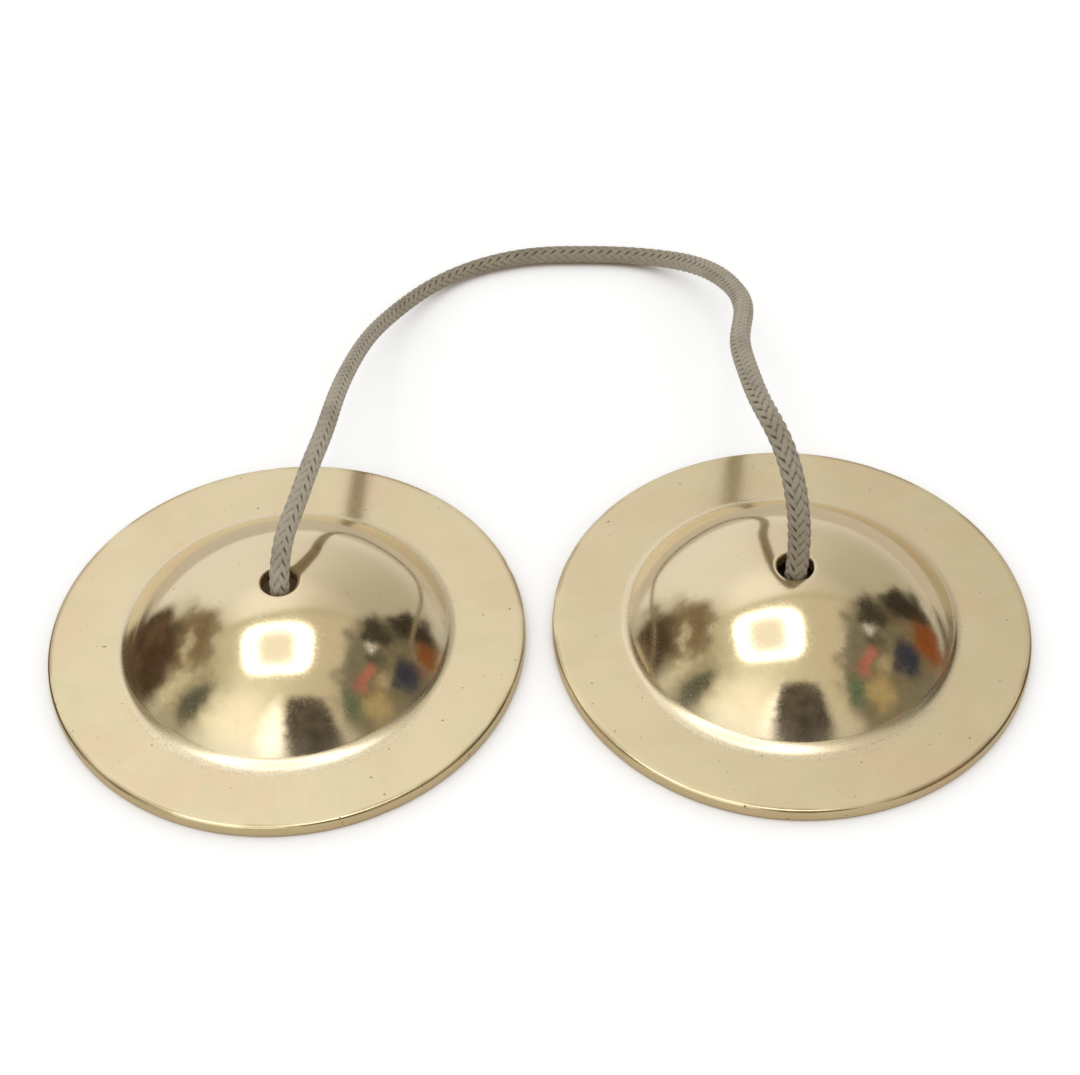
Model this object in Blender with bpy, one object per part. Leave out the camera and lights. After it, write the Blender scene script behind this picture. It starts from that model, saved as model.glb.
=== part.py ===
"""Manjira: two small cast brass hand cymbals tied together by one braided cord.

Each cymbal is a turned bell: a flat rim, a narrow cove and a round dome with a hole in its top. The cord
goes down through both holes and ends in a stopper knot inside each bowl. The pair lies on a table at z = 0,
mouths down, with the cord's loop behind it at +Y. Lengths are in metres, angles in radians unless named so.
"""

from math import asin
from math import atan2
from math import cos
from math import pi
from math import radians
from math import sin
from math import sqrt

import bmesh
import bpy
import numpy as np
from mathutils import Matrix
from mathutils import Vector

# Cymbal
CYMBAL_DIA = 0.0800
CYMBAL_HEIGHT = 0.0156
RIM_THICKNESS = 0.0024
WALL = 0.0022
COVE_DIA = 0.0572
COVE_RADIUS = 0.0022
RIM_ROUND = 0.0006
MOUTH_ROUND = 0.0009
HOLE_ROUND = 0.0004

# Cord, its play in the holes, and how far its pieces stay from each other
CORD_DIA = 0.0036
HOLE_PLAY = 0.0024
CORD_GAP = 0.0003

# How the pair lies: the space between the rims, and the place where the cord's loop bends
RIM_SPACE = 0.0045
BEND_X = 0.0027
BEND_Y = 0.0981
LAID_LIFT = 0.0001

# Stopper knot, a closed-up overhand knot; the first five are in cord diameters
KNOT_RING = 1.34
KNOT_LOBE = 0.60
KNOT_RISE = 0.62
KNOT_REACH = 0.95
KNOT_DROP = 1.00
KNOT_TAIL = 0.0090
KNOT_LIFT = 0.0010
LEFT_KNOT_TURN = radians(35)
RIGHT_KNOT_TURN = radians(215)

# The cord's route from each hole towards the bend: across from the hole's axis, back, and up to its underside
LEFT_ROUTE = (
    (0.0009, 0.0047, 0.0180),
    (0.0028, 0.0105, 0.0204),
    (0.0047, 0.0176, 0.0216),
    (0.0066, 0.0263, 0.0212),
    (0.0079, 0.0386, 0.0180),
    (0.0097, 0.0531, 0.0130),
    (0.0127, 0.0676, 0.0076),
    (0.0175, 0.0800, 0.0031),
    (0.0232, 0.0887, 0.0008),
    (0.0300, 0.0941, LAID_LIFT),
    (0.0374, 0.0969, LAID_LIFT),
)
RIGHT_ROUTE = (
    (0.0004, 0.0008, 0.0178),
    (-0.0001, 0.0028, 0.0250),
    (-0.0011, 0.0060, 0.0298),
    (-0.0027, 0.0106, 0.0328),
    (-0.0047, 0.0175, 0.0332),
    (-0.0059, 0.0293, 0.0300),
    (-0.0059, 0.0432, 0.0248),
    (-0.0038, 0.0578, 0.0190),
    (-0.0050, 0.0747, 0.0114),
    (-0.0101, 0.0879, 0.0048),
    (-0.0170, 0.0950, 0.0010),
    (-0.0244, 0.0974, LAID_LIFT),
    (-0.0320, 0.0980, LAID_LIFT),
)

# Fineness of the meshes
TURN_STEPS = 64
POINTS_PER_TUBE_TURN = 2
TUBE_STEP = 2.0

# Sizes that follow from the ones above
CORD_R = CORD_DIA / 2
HOLE_R = (CORD_DIA + HOLE_PLAY) / 2
HOLE_X = (CYMBAL_DIA + RIM_SPACE) / 2
NECK_TOP = CYMBAL_HEIGHT
PIVOT_Z = NECK_TOP + CORD_GAP + CORD_R
LEFT_PIVOT = Vector((-HOLE_X, 0, PIVOT_Z))
RIGHT_PIVOT = Vector((HOLE_X, 0, PIVOT_Z))
BEND = Vector((BEND_X, BEND_Y, CORD_R + LAID_LIFT))


def arc(centre, radius, start, end, steps):
    """Points on an arc in the (radius from axis, height) plane; angles are measured from straight up."""
    points = []
    for step in range(steps + 1):
        angle = start + (end - start) * step / steps
        points.append((centre[0] + radius * sin(angle), centre[1] + radius * cos(angle)))
    return points


def cymbal_profile():
    """Closed outline of a cymbal's cast wall, from the hole over the outside and back along the inside."""
    rim_r = CYMBAL_DIA / 2
    cove_r = COVE_DIA / 2
    hole_edge = HOLE_R + HOLE_ROUND

    # The dome is part of a ball about the axis; the cove arc touches it and leaves level with the rim's top
    rise = CYMBAL_HEIGHT - RIM_THICKNESS
    between_centres = (cove_r**2 + rise**2) / (2 * rise)
    dome_radius = between_centres - COVE_RADIUS
    dome = (0.0, CYMBAL_HEIGHT - dome_radius)
    dome_end = atan2(cove_r, between_centres - rise)
    cove = (cove_r, RIM_THICKNESS + COVE_RADIUS)

    # The inside follows the outside one wall further in, down to the mouth's round edge
    inner_radius = dome_radius - WALL
    mouth_rise = MOUTH_ROUND - dome[1]
    mouth_out = sqrt((inner_radius + MOUTH_ROUND) ** 2 - mouth_rise**2)
    mouth_angle = atan2(mouth_out, mouth_rise)
    mouth = (mouth_out, MOUTH_ROUND)

    # Both edges of the hole are rounded
    top_angle = asin(hole_edge / (dome_radius - HOLE_ROUND))
    top_edge = (hole_edge, dome[1] + (dome_radius - HOLE_ROUND) * cos(top_angle))
    low_angle = asin(hole_edge / (inner_radius + HOLE_ROUND))
    low_edge = (hole_edge, dome[1] + (inner_radius + HOLE_ROUND) * cos(low_angle))

    outline = arc(top_edge, HOLE_ROUND, -pi / 2, top_angle, 2)
    outline += arc(dome, dome_radius, top_angle, dome_end, 9)[1:]
    outline += arc(cove, COVE_RADIUS, dome_end + pi, pi, 5)[1:]
    outline += arc((rim_r - RIM_ROUND, RIM_THICKNESS - RIM_ROUND), RIM_ROUND, 0, pi / 2, 2)
    outline += arc((rim_r - RIM_ROUND, RIM_ROUND), RIM_ROUND, pi / 2, pi, 2)
    outline += arc(mouth, MOUTH_ROUND, pi, mouth_angle + pi, 2)
    outline += arc(dome, inner_radius, mouth_angle, low_angle, 9)[1:]
    outline += arc(low_edge, HOLE_ROUND, low_angle + pi, 3 * pi / 2, 2)[1:]
    return outline


def make_cymbal(name, axis_x):
    """Turn the outline about the hole's axis; the object's origin is on that axis, on the table."""
    outline = cymbal_profile()
    mesh = bpy.data.meshes.new(name)
    shell = bmesh.new()
    corners = [shell.verts.new((r, 0, z)) for r, z in outline]
    edges = [shell.edges.new((corners[i - 1], corners[i])) for i in range(len(corners))]
    bmesh.ops.spin(
        shell,
        geom=corners + edges,
        cent=(0, 0, 0),
        axis=(0, 0, 1),
        angle=2 * pi,
        steps=TURN_STEPS,
        use_merge=True,
    )
    bmesh.ops.recalc_face_normals(shell, faces=shell.faces)
    shell.to_mesh(mesh)
    shell.free()
    mesh.shade_smooth()
    mesh.set_sharp_from_angle(angle=radians(40))
    cymbal = bpy.data.objects.new(name, mesh)
    bpy.context.collection.objects.link(cymbal)
    cymbal.location = (axis_x, 0, 0)
    return cymbal


def spline_through(points, spacing):
    """Points at even distances along the natural cubic spline through the given points."""
    route = np.array(points, dtype=float)
    spans = np.linalg.norm(np.diff(route, axis=0), axis=1)
    knots = np.concatenate(([0.0], np.cumsum(spans)))
    count = len(route)
    left = np.eye(count)
    right = np.zeros_like(route)
    for i in range(1, count - 1):
        left[i, i - 1 : i + 2] = (spans[i - 1], 2 * (spans[i - 1] + spans[i]), spans[i])
        slope_in = (route[i] - route[i - 1]) / spans[i - 1]
        slope_out = (route[i + 1] - route[i]) / spans[i]
        right[i] = 6 * (slope_out - slope_in)
    bend = np.linalg.solve(left, right)

    fine = []
    for i in range(count - 1):
        for share in np.linspace(0, 1, 40, endpoint=(i == count - 2)):
            a = (1 - share) * spans[i]
            b = share * spans[i]
            curved = (bend[i] * (a**3 - spans[i] ** 2 * a) + bend[i + 1] * (b**3 - spans[i] ** 2 * b)) / (6 * spans[i])
            fine.append((1 - share) * route[i] + share * route[i + 1] + curved)
    return even_steps(np.array(fine), spacing)


def even_steps(line, spacing):
    """The same line with its points set at even distances, as near to the wanted spacing as fits."""
    reach = np.concatenate(([0.0], np.cumsum(np.linalg.norm(np.diff(line, axis=0), axis=1))))
    stops = np.linspace(0, reach[-1], max(2, round(reach[-1] / spacing) + 1))
    return np.stack([np.interp(stops, reach, line[:, i]) for i in range(3)], axis=1)


def line_length(line):
    """Length along a line of points."""
    return float(np.linalg.norm(np.diff(line, axis=0), axis=1).sum())


def trefoil(angle):
    """A point on the knot's ring, and its direction there; once round the angle passes the ring twice."""
    ring = KNOT_RING * CORD_DIA
    lobe = KNOT_LOBE * CORD_DIA
    rise = KNOT_RISE * CORD_DIA
    spread = ring + lobe * cos(3 * angle)
    pull = -3 * lobe * sin(3 * angle)
    point = Vector((spread * cos(2 * angle), spread * sin(2 * angle), rise * sin(3 * angle)))
    along = Vector((
        pull * cos(2 * angle) - 2 * spread * sin(2 * angle),
        pull * sin(2 * angle) + 2 * spread * cos(2 * angle),
        3 * rise * cos(3 * angle),
    ))
    return point, along.normalized()


def bezier(start, start_pull, end_pull, end, steps):
    """Points along a cubic Bezier curve."""
    points = []
    for step in range(steps + 1):
        t = step / steps
        s = 1 - t
        points.append(s**3 * start + 3 * s**2 * t * start_pull + 3 * s * t**2 * end_pull + t**3 * end)
    return points


def knot_line(turn):
    """The stopper knot's centreline from its neck to its loose end, with the hole's axis at x = y = 0."""
    first, first_along = trefoil(pi / 6 + 0.12)
    last, last_along = trefoil(2 * pi - pi / 6)
    to_axis = first - first_along * KNOT_REACH * CORD_DIA
    centre_z = CORD_R + KNOT_LIFT + KNOT_RISE * CORD_DIA
    neck_end = Vector((to_axis.x, to_axis.y, first.z + KNOT_DROP * CORD_DIA))
    neck_start = Vector((to_axis.x, to_axis.y, NECK_TOP - centre_z))

    # Down the neck, round into the ring, along the ring, and out under the crossing
    pull = 0.6 * CORD_DIA
    points = [neck_start.lerp(neck_end, step / 3) for step in range(3)]
    points += bezier(neck_end, neck_end - Vector((0, 0, pull)), first - first_along * pull, first, 6)
    for step in range(1, 34):
        points.append(trefoil(pi / 6 + 0.12 + (5 * pi / 3 - 0.12) * step / 34)[0])
    sink = Vector((0, -0.0020, 0.0006))
    out = last + last_along * KNOT_TAIL + sink
    points += bezier(last, last + last_along * 0.4 * KNOT_TAIL, out - last_along * 0.3 * KNOT_TAIL, out, 4)

    # Move the neck onto the hole's axis and turn the knot about it
    place = Matrix.Rotation(turn, 4, "Z") @ Matrix.Translation((-to_axis.x, -to_axis.y, centre_z))
    return [place @ point for point in points]


def least_gap(line):
    """The least space between two stretches of a cord that are more than two diameters apart along it."""
    close = even_steps(np.array(line), 0.0004)
    apart = np.linalg.norm(close[:, None] - close[None], axis=2)
    place = np.arange(len(close)) * line_length(close) / (len(close) - 1)
    apart[np.abs(place[:, None] - place[None]) < 2 * CORD_DIA] = np.inf
    return float(apart.min()) - CORD_DIA


def make_tube(name, line, origin, ball_at_start=False, ball_at_end=False):
    """A round cord along a line of points; a ball end narrows to stand round the point that it ends on."""
    points = [(Vector(point), 1.0) for point in line]
    for ball, end, before in ((ball_at_start, 0, 1), (ball_at_end, -1, -2)):
        if not ball:
            continue
        outward = (points[end][0] - points[before][0]).normalized()
        cap = [(points[end][0] + outward * CORD_R * sin(a), cos(a)) for a in (0.4, 0.75, 1.1)]
        points = list(reversed(cap)) + points if end == 0 else points + cap

    curve = bpy.data.curves.new(name, "CURVE")
    curve.dimensions = "3D"
    curve.bevel_depth = CORD_R
    curve.bevel_resolution = POINTS_PER_TUBE_TURN
    curve.render_resolution_u = 0
    curve.use_fill_caps = True
    spline = curve.splines.new("POLY")
    spline.points.add(len(points) - 1)
    for spot, (point, radius) in zip(spline.points, points):
        spot.co = (*(point - origin), 1)
        spot.radius = radius
    tube = bpy.data.objects.new(name, curve)
    bpy.context.collection.objects.link(tube)
    tube.location = origin
    return tube


def cord_line():
    """The cord's centreline above the table, from the left hole over the bend to the right hole."""
    left = [(-HOLE_X + across, back, CORD_R + lift) for across, back, lift in LEFT_ROUTE]
    right = [(HOLE_X + across, back, CORD_R + lift) for across, back, lift in RIGHT_ROUTE]
    return [tuple(LEFT_PIVOT)] + left + [tuple(BEND)] + right[::-1] + [tuple(RIGHT_PIVOT)]


def cord_halves():
    """The line cut in two at the bend; the left half stops short, clear of the right half's ball end."""
    line = spline_through(cord_line(), 0.0002)
    cut = int(np.argmin(np.linalg.norm(line - np.array(BEND), axis=1)))
    from_bend = np.linalg.norm(line[:cut] - np.array(BEND), axis=1)
    left = line[:cut][from_bend > CORD_R + CORD_GAP]
    right = line[cut:]
    print("cord length between the holes, mm:", round(line_length(line) * 1000, 1))
    return even_steps(left, TUBE_STEP * CORD_DIA), even_steps(right, TUBE_STEP * CORD_DIA)


def principled(name, colour, metallic, roughness):
    """A material with one Principled shader."""
    material = bpy.data.materials.new(name)
    material.use_nodes = True
    shader = material.node_tree.nodes["Principled BSDF"]
    shader.inputs["Base Color"].default_value = (*colour, 1)
    shader.inputs["Metallic"].default_value = metallic
    shader.inputs["Roughness"].default_value = roughness
    return material


def dress(piece, finish):
    """Give a piece its own material: polished brass or braided cotton."""
    if finish == "brass":
        piece.data.materials.append(principled(piece.name + "_brass", (0.78, 0.62, 0.36), 1.0, 0.22))
    else:
        piece.data.materials.append(principled(piece.name + "_cotton", (0.42, 0.36, 0.30), 0.0, 0.85))


def hang_on(child, parent):
    """Parent one piece to the piece that carries it, where it already lies."""
    bpy.context.view_layer.update()
    place = child.matrix_world.copy()
    child.parent = parent
    child.matrix_parent_inverse = parent.matrix_world.inverted()
    child.matrix_world = place


def main():
    """Build the two cymbals, the two halves of the cord and the two knots."""
    for old in list(bpy.data.objects):
        bpy.data.objects.remove(old)

    left_cymbal = make_cymbal("left_cymbal", -HOLE_X)
    right_cymbal = make_cymbal("right_cymbal", HOLE_X)

    knots = []
    for name, turn, pivot in (
        ("left_knot", LEFT_KNOT_TURN, LEFT_PIVOT),
        ("right_knot", RIGHT_KNOT_TURN, RIGHT_PIVOT),
    ):
        line = [point + Vector((pivot.x, 0, 0)) for point in knot_line(turn)]
        print(name, "least gap to itself, mm:", round(least_gap(line) * 1000, 2))
        print(name, "cord length, mm:", round(line_length(line) * 1000, 1))
        knots.append(make_tube(name, line, pivot))
    left_knot, right_knot = knots

    left_line, right_line = cord_halves()
    left_cord = make_tube("left_cord", left_line, BEND, ball_at_start=True)
    right_cord = make_tube("right_cord", right_line, RIGHT_PIVOT, ball_at_start=True, ball_at_end=True)

    for cymbal in (left_cymbal, right_cymbal):
        dress(cymbal, "brass")
    for soft in (left_knot, right_knot, left_cord, right_cord):
        dress(soft, "cotton")

    # Each piece is carried by the one that it moves against
    hang_on(right_knot, right_cymbal)
    hang_on(right_cord, right_knot)
    hang_on(left_cord, right_cord)
    hang_on(left_knot, left_cord)
    hang_on(left_cymbal, left_knot)


main()
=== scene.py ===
import logging
from dataclasses import dataclass
from enum import Enum
from math import acos, asin, atan2, cos, pi, radians, sin, sqrt
from typing import Sequence

import bmesh
import bpy
import numpy as np
from mathutils import Matrix, Vector

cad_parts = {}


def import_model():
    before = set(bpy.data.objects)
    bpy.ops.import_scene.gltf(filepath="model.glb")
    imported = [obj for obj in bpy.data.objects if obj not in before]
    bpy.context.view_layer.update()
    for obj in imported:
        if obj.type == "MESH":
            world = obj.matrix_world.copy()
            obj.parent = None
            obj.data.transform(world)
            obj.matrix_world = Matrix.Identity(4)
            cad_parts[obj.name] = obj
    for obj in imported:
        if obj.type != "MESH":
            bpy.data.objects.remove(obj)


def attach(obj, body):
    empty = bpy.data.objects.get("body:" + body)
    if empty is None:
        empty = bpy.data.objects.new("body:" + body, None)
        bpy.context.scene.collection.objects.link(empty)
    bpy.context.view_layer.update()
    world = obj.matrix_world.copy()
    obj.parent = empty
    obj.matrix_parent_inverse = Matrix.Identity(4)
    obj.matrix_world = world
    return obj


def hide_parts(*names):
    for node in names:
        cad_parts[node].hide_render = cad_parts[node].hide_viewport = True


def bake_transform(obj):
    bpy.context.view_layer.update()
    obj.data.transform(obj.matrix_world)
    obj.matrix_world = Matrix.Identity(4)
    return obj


log = logging.getLogger("manjira")
logging.basicConfig(level=logging.INFO, format="%(message)s")

MM = 0.001
"""One millimetre in metres; sizes below are written in millimetres times this."""

Colour = tuple[float, float, float]
Point = tuple[float, float]


class Signal:
    """A node socket that Python's arithmetic works on; each operation adds one Math node."""

    def __init__(self, graph: "Graph", socket: bpy.types.NodeSocket) -> None:
        """Wraps one output socket of the graph's tree."""
        self.graph = graph
        self.socket = socket

    def __add__(self, other: "Term") -> "Signal":
        """self + other."""
        return self.graph.math("ADD", self, other)

    def __radd__(self, other: "Term") -> "Signal":
        """other + self."""
        return self.graph.math("ADD", other, self)

    def __sub__(self, other: "Term") -> "Signal":
        """self - other."""
        return self.graph.math("SUBTRACT", self, other)

    def __rsub__(self, other: "Term") -> "Signal":
        """other - self."""
        return self.graph.math("SUBTRACT", other, self)

    def __mul__(self, other: "Term") -> "Signal":
        """self * other."""
        return self.graph.math("MULTIPLY", self, other)

    def __rmul__(self, other: "Term") -> "Signal":
        """other * self."""
        return self.graph.math("MULTIPLY", other, self)

    def __truediv__(self, other: "Term") -> "Signal":
        """self / other."""
        return self.graph.math("DIVIDE", self, other)

    def __rtruediv__(self, other: "Term") -> "Signal":
        """other / self."""
        return self.graph.math("DIVIDE", other, self)

    def __pow__(self, other: "Term") -> "Signal":
        """self ** other."""
        return self.graph.math("POWER", self, other)

    def step(self, low: float, high: float) -> "Signal":
        """0 below low, 1 above high and a smooth rise between; a falling one where low is above high."""
        if low > high:
            return 1 - self.step(high, low)
        settings = {"interpolation_type": "SMOOTHSTEP"}
        return self.graph.signal("ShaderNodeMapRange", settings, {"Value": self, "From Min": low, "From Max": high})


Term = Signal | float
Link = Signal | bpy.types.NodeSocket | float | int | str | bool | tuple | bpy.types.Material


class Graph:
    """Adds nodes to one shader, world or Geometry Nodes tree."""

    def __init__(self, tree: bpy.types.NodeTree) -> None:
        """Starts on a tree that may already hold nodes."""
        self.tree = tree

    def node(self, kind: str, settings: dict[str, object] | None = None, sockets: dict[object, Link] | None = None) -> bpy.types.Node:
        """Adds one node.

        Args:
            kind: The node's type, as bpy names it.
            settings: Properties of the node, which are set before its sockets.
            sockets: Values or links of its input sockets, by name or index.

        Returns:
            The new node.
        """
        node = self.tree.nodes.new(kind)
        for name, value in (settings or {}).items():
            setattr(node, name, value)
        for name, value in (sockets or {}).items():
            self.feed(node.inputs[name], value)
        return node

    def feed(self, socket: bpy.types.NodeSocket, value: Link) -> None:
        """Links a signal or an output socket to an input socket, or sets the input's own value."""
        if isinstance(value, Signal):
            self.tree.links.new(value.socket, socket)
        elif isinstance(value, bpy.types.NodeSocket):
            self.tree.links.new(value, socket)
        else:
            socket.default_value = value

    def signal(self, kind: str, settings: dict[str, object] | None = None, sockets: dict[object, Link] | None = None, output: object = 0) -> Signal:
        """Adds one node as node() does and returns one of its outputs, by name or index."""
        return Signal(self, self.node(kind, settings, sockets).outputs[output])

    def math(self, operation: str, *terms: Term) -> Signal:
        """Adds a Math node on one to three terms."""
        return self.signal("ShaderNodeMath", {"operation": operation}, dict(enumerate(terms)))

    def blend(self, share: Term, first: Link, second: Link) -> Signal:
        """Mixes two colours, each a signal or three numbers."""
        sockets = {0: share}
        for index, colour in ((6, first), (7, second)):
            sockets[index] = (*colour, 1) if isinstance(colour, tuple) else colour
        return self.signal("ShaderNodeMix", {"data_type": "RGBA"}, sockets, output=2)

    def scaled(self, colour: Link, factor: Term) -> Signal:
        """A colour, a signal or three numbers, times a number."""
        return self.signal("ShaderNodeVectorMath", {"operation": "SCALE"}, {0: colour, "Scale": factor})

    def shifted(self, vector: Signal, step: Colour) -> Signal:
        """A vector plus three numbers."""
        return self.signal("ShaderNodeVectorMath", {"operation": "ADD"}, {0: vector, 1: step})

    def combine(self, x: Term, y: Term, z: Term) -> Signal:
        """A vector of three numbers."""
        return self.signal("ShaderNodeCombineXYZ", None, {0: x, 1: y, 2: z})

    def split(self, vector: Signal) -> tuple[Signal, Signal, Signal]:
        """The three numbers of a vector."""
        node = self.node("ShaderNodeSeparateXYZ", None, {0: vector})
        return Signal(self, node.outputs[0]), Signal(self, node.outputs[1]), Signal(self, node.outputs[2])

    def noise(self, place: Signal, scale: float, detail: float = 2.0, roughness: float = 0.5) -> Signal:
        """A noise value of about 0.5, whose grains are 1 / scale metres apart."""
        sockets = {"Vector": place, "Scale": scale, "Detail": detail, "Roughness": roughness}
        return self.signal("ShaderNodeTexNoise", None, sockets, output="Fac")


def geometry_graph(name: str, inputs: dict[str, str]) -> tuple[Graph, bpy.types.Node, bpy.types.Node]:
    """Starts a Geometry Nodes tree that takes and gives a geometry.

    Args:
        name: The tree's name.
        inputs: Further inputs, by name, with their socket types.

    Returns:
        The graph, its input node and its output node.
    """
    tree = bpy.data.node_groups.new(name, "GeometryNodeTree")
    tree.interface.new_socket("Geometry", in_out="INPUT", socket_type="NodeSocketGeometry")
    for label, kind in inputs.items():
        tree.interface.new_socket(label, in_out="INPUT", socket_type=kind)
    tree.interface.new_socket("Geometry", in_out="OUTPUT", socket_type="NodeSocketGeometry")
    graph = Graph(tree)
    return graph, graph.node("NodeGroupInput"), graph.node("NodeGroupOutput")


def grown(name: str, seed_mesh: bpy.types.Mesh, tree: bpy.types.NodeTree, values: dict[str, object]) -> bpy.types.Object:
    """Runs a Geometry Nodes tree on a mesh and keeps its result as a plain mesh.

    Args:
        name: The new piece's name.
        seed_mesh: The mesh that the tree starts from.
        tree: The Geometry Nodes tree.
        values: Its inputs, by name.

    Returns:
        A new object at the origin that holds the result, with no modifier on it.
    """
    carrier = bpy.data.objects.new(name + "_carrier", seed_mesh)
    bpy.context.collection.objects.link(carrier)
    modifier = carrier.modifiers.new("grow", "NODES")
    modifier.node_group = tree
    for item in tree.interface.items_tree:
        if item.in_out == "INPUT" and item.name in values:
            modifier[item.identifier] = values[item.name]
    bpy.context.view_layer.update()
    evaluated = carrier.evaluated_get(bpy.context.evaluated_depsgraph_get())
    mesh = bpy.data.meshes.new_from_object(evaluated)
    mesh.name = name
    bpy.data.objects.remove(carrier)
    piece = bpy.data.objects.new(name, mesh)
    bpy.context.collection.objects.link(piece)
    return piece


def close_up(piece: bpy.types.Object) -> None:
    """Merges seams, fills open ends, turns all faces outwards and shades the piece smooth."""
    work = bmesh.new()
    work.from_mesh(piece.data)
    bmesh.ops.remove_doubles(work, verts=work.verts, dist=0.000001)
    rims = [edge for edge in work.edges if edge.is_boundary]
    if rims:
        bmesh.ops.holes_fill(work, edges=rims, sides=0)
    bmesh.ops.recalc_face_normals(work, faces=work.faces)
    work.to_mesh(piece.data)
    work.free()
    piece.data.shade_smooth()


def shader_graph(name: str) -> tuple[bpy.types.Material, Graph, bpy.types.Node]:
    """Starts a material.

    Args:
        name: The material's name.

    Returns:
        The material, its graph and its Principled shader.
    """
    material = bpy.data.materials.new(name)
    material.use_nodes = True
    return material, Graph(material.node_tree), material.node_tree.nodes["Principled BSDF"]


@dataclass(frozen=True)
class BrassFinish:
    """Cast brass: a mirror-polished dome, a rough cove, a satin rim and a dull inside."""

    dome: Colour = (0.845, 0.725, 0.515)
    rim: Colour = (0.825, 0.71, 0.485)
    peach: Colour = (0.82, 0.65, 0.445)
    olive: Colour = (0.75, 0.685, 0.45)
    # Lightens the dome's foot and the cove; towards the front of the cove it paints a highlight
    pale: Colour = (0.90, 0.83, 0.70)
    # Specks, grit and the inside take the tarnish colour; along the rim's edge it also paints a darker reflection
    tarnish: Colour = (0.30, 0.24, 0.14)
    inside: Colour = (0.62, 0.49, 0.29)
    dome_roughness: float = 0.088
    rim_roughness: float = 0.17
    cove_roughness: float = 0.23
    inside_roughness: float = 0.42

    def make(self, name: str, shape: "CymbalShape", axis_x: float) -> bpy.types.Material:
        """Builds the material for the cymbal whose hole is on the line x = axis_x.

        Args:
            name: The material's name.
            shape: The cymbal's sizes, which say where each zone begins.
            axis_x: Where its axis stands.

        Returns:
            The material.
        """
        material, graph, shader = shader_graph(name)
        place = graph.signal("ShaderNodeTexCoord", None, None, output="Object")
        centred = graph.signal("ShaderNodeMapping", {"vector_type": "POINT"}, {"Vector": place, "Location": (-axis_x, 0, 0)})
        x, y, z = graph.split(centred)
        radius = (x**2 + y**2) ** 0.5
        seeded = graph.signal("ShaderNodeMapping", {"vector_type": "POINT"}, {"Vector": place, "Location": (3 * axis_x, axis_x, 0.1)})
        within = graph.signal("ShaderNodeAttribute", {"attribute_name": "within"}, None, output="Fac")

        # Zones from the axis outwards: 1 at the dome's foot, 1 in the cove, 1 on the rim, 1 on the grit beside
        zone = graph.signal("ShaderNodeAttribute", {"attribute_name": "zone"}, None, output="Fac")
        frontal = (y / radius).step(-0.4, -0.82)
        on_rim = zone.step(1.1, 2.0)
        trough = zone.step(0.1, 0.9) * (1 - on_rim)
        foot = radius.step(shape.dome_end_r - 3.5 * MM, shape.dome_end_r) * (1 - trough) * (1 - on_rim)
        beside = radius.step(shape.cove_r - 0.3 * MM, shape.cove_r + 0.3 * MM) * frontal
        beside = beside * radius.step(shape.cove_r + 2.2 * MM, shape.cove_r + 0.6 * MM)

        # Slow tints, then fine grain, specks and short dashes
        broad = graph.noise(seeded, 70.0, 3.0)
        patch = graph.noise(seeded, 160.0, 3.0)
        grain = graph.noise(seeded, 2600.0, 3.0, 0.65)
        fleck = graph.noise(seeded, 900.0, 2.0)
        tint = graph.blend(on_rim, self.dome, self.rim)
        tint = graph.blend(broad.step(0.44, 0.66) * (0.25 + on_rim * 0.5), tint, self.peach)
        tint = graph.blend(patch.step(0.46, 0.72) * (0.15 + on_rim * 0.45), tint, self.olive)
        # The cove and the dome's foot are made paler; the cove more so towards the front, which is a painted highlight
        tint = graph.blend(graph.math("MAXIMUM", trough * (0.15 + frontal * 0.25), foot * 0.4), tint, self.pale)
        spots = fleck.step(0.735, 0.765) * (0.35 + on_rim * 0.45)
        # The rim's rounded top edge goes towards the tarnish colour in patches: tarnish, and a painted reflection of
        # darker surroundings along that edge
        edge = radius.step(shape.rim_r - 1.0 * MM, shape.rim_r - 0.55 * MM) * z.step(shape.rim_t - 0.5 * MM, shape.rim_t - 0.2 * MM)
        grit = grain.step(0.42, 0.78) * (trough * (0.10 - frontal * 0.04) + beside * 0.4)
        dirt = graph.math("MAXIMUM", spots, grit)
        worn = graph.math("MINIMUM", dirt + edge * broad.step(0.42, 0.6) * 0.45, 0.9)
        outside = graph.blend(worn, tint, self.tarnish)
        cast = graph.blend(graph.noise(seeded, 420.0, 4.0).step(0.35, 0.7) * 0.55, self.inside, self.tarnish)
        graph.feed(shader.inputs["Base Color"], graph.blend(within, outside, cast))

        polish = self.dome_roughness + on_rim * (self.rim_roughness - self.dome_roughness)
        polish = polish + trough * (self.cove_roughness - self.dome_roughness) + (broad - 0.5) * 0.05 + spots * 0.2
        polish = polish + foot * 0.05 + grain.step(0.40, 0.75) * 0.09
        graph.feed(shader.inputs["Roughness"], polish + within * (self.inside_roughness - self.dome_roughness))
        shader.inputs["Metallic"].default_value = 1.0

        # Turning marks run round the axis; the cove and the inside keep the grain of the casting
        rings = graph.noise(graph.combine(radius * 9.0, 0.0, z * 2.0), 700.0, 2.0)
        depth = rings * (on_rim * 0.0000035 + 0.0000006) + grain * (0.000002 - on_rim * 0.0000008 + trough * 0.000003 + beside * 0.000005)
        relief = depth + within * grain * 0.00003 - spots * 0.00001
        bump = graph.node("ShaderNodeBump", None, {"Strength": 1.0, "Distance": 1.0, "Height": relief})
        graph.feed(shader.inputs["Normal"], bump.outputs[0])
        return material


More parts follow.
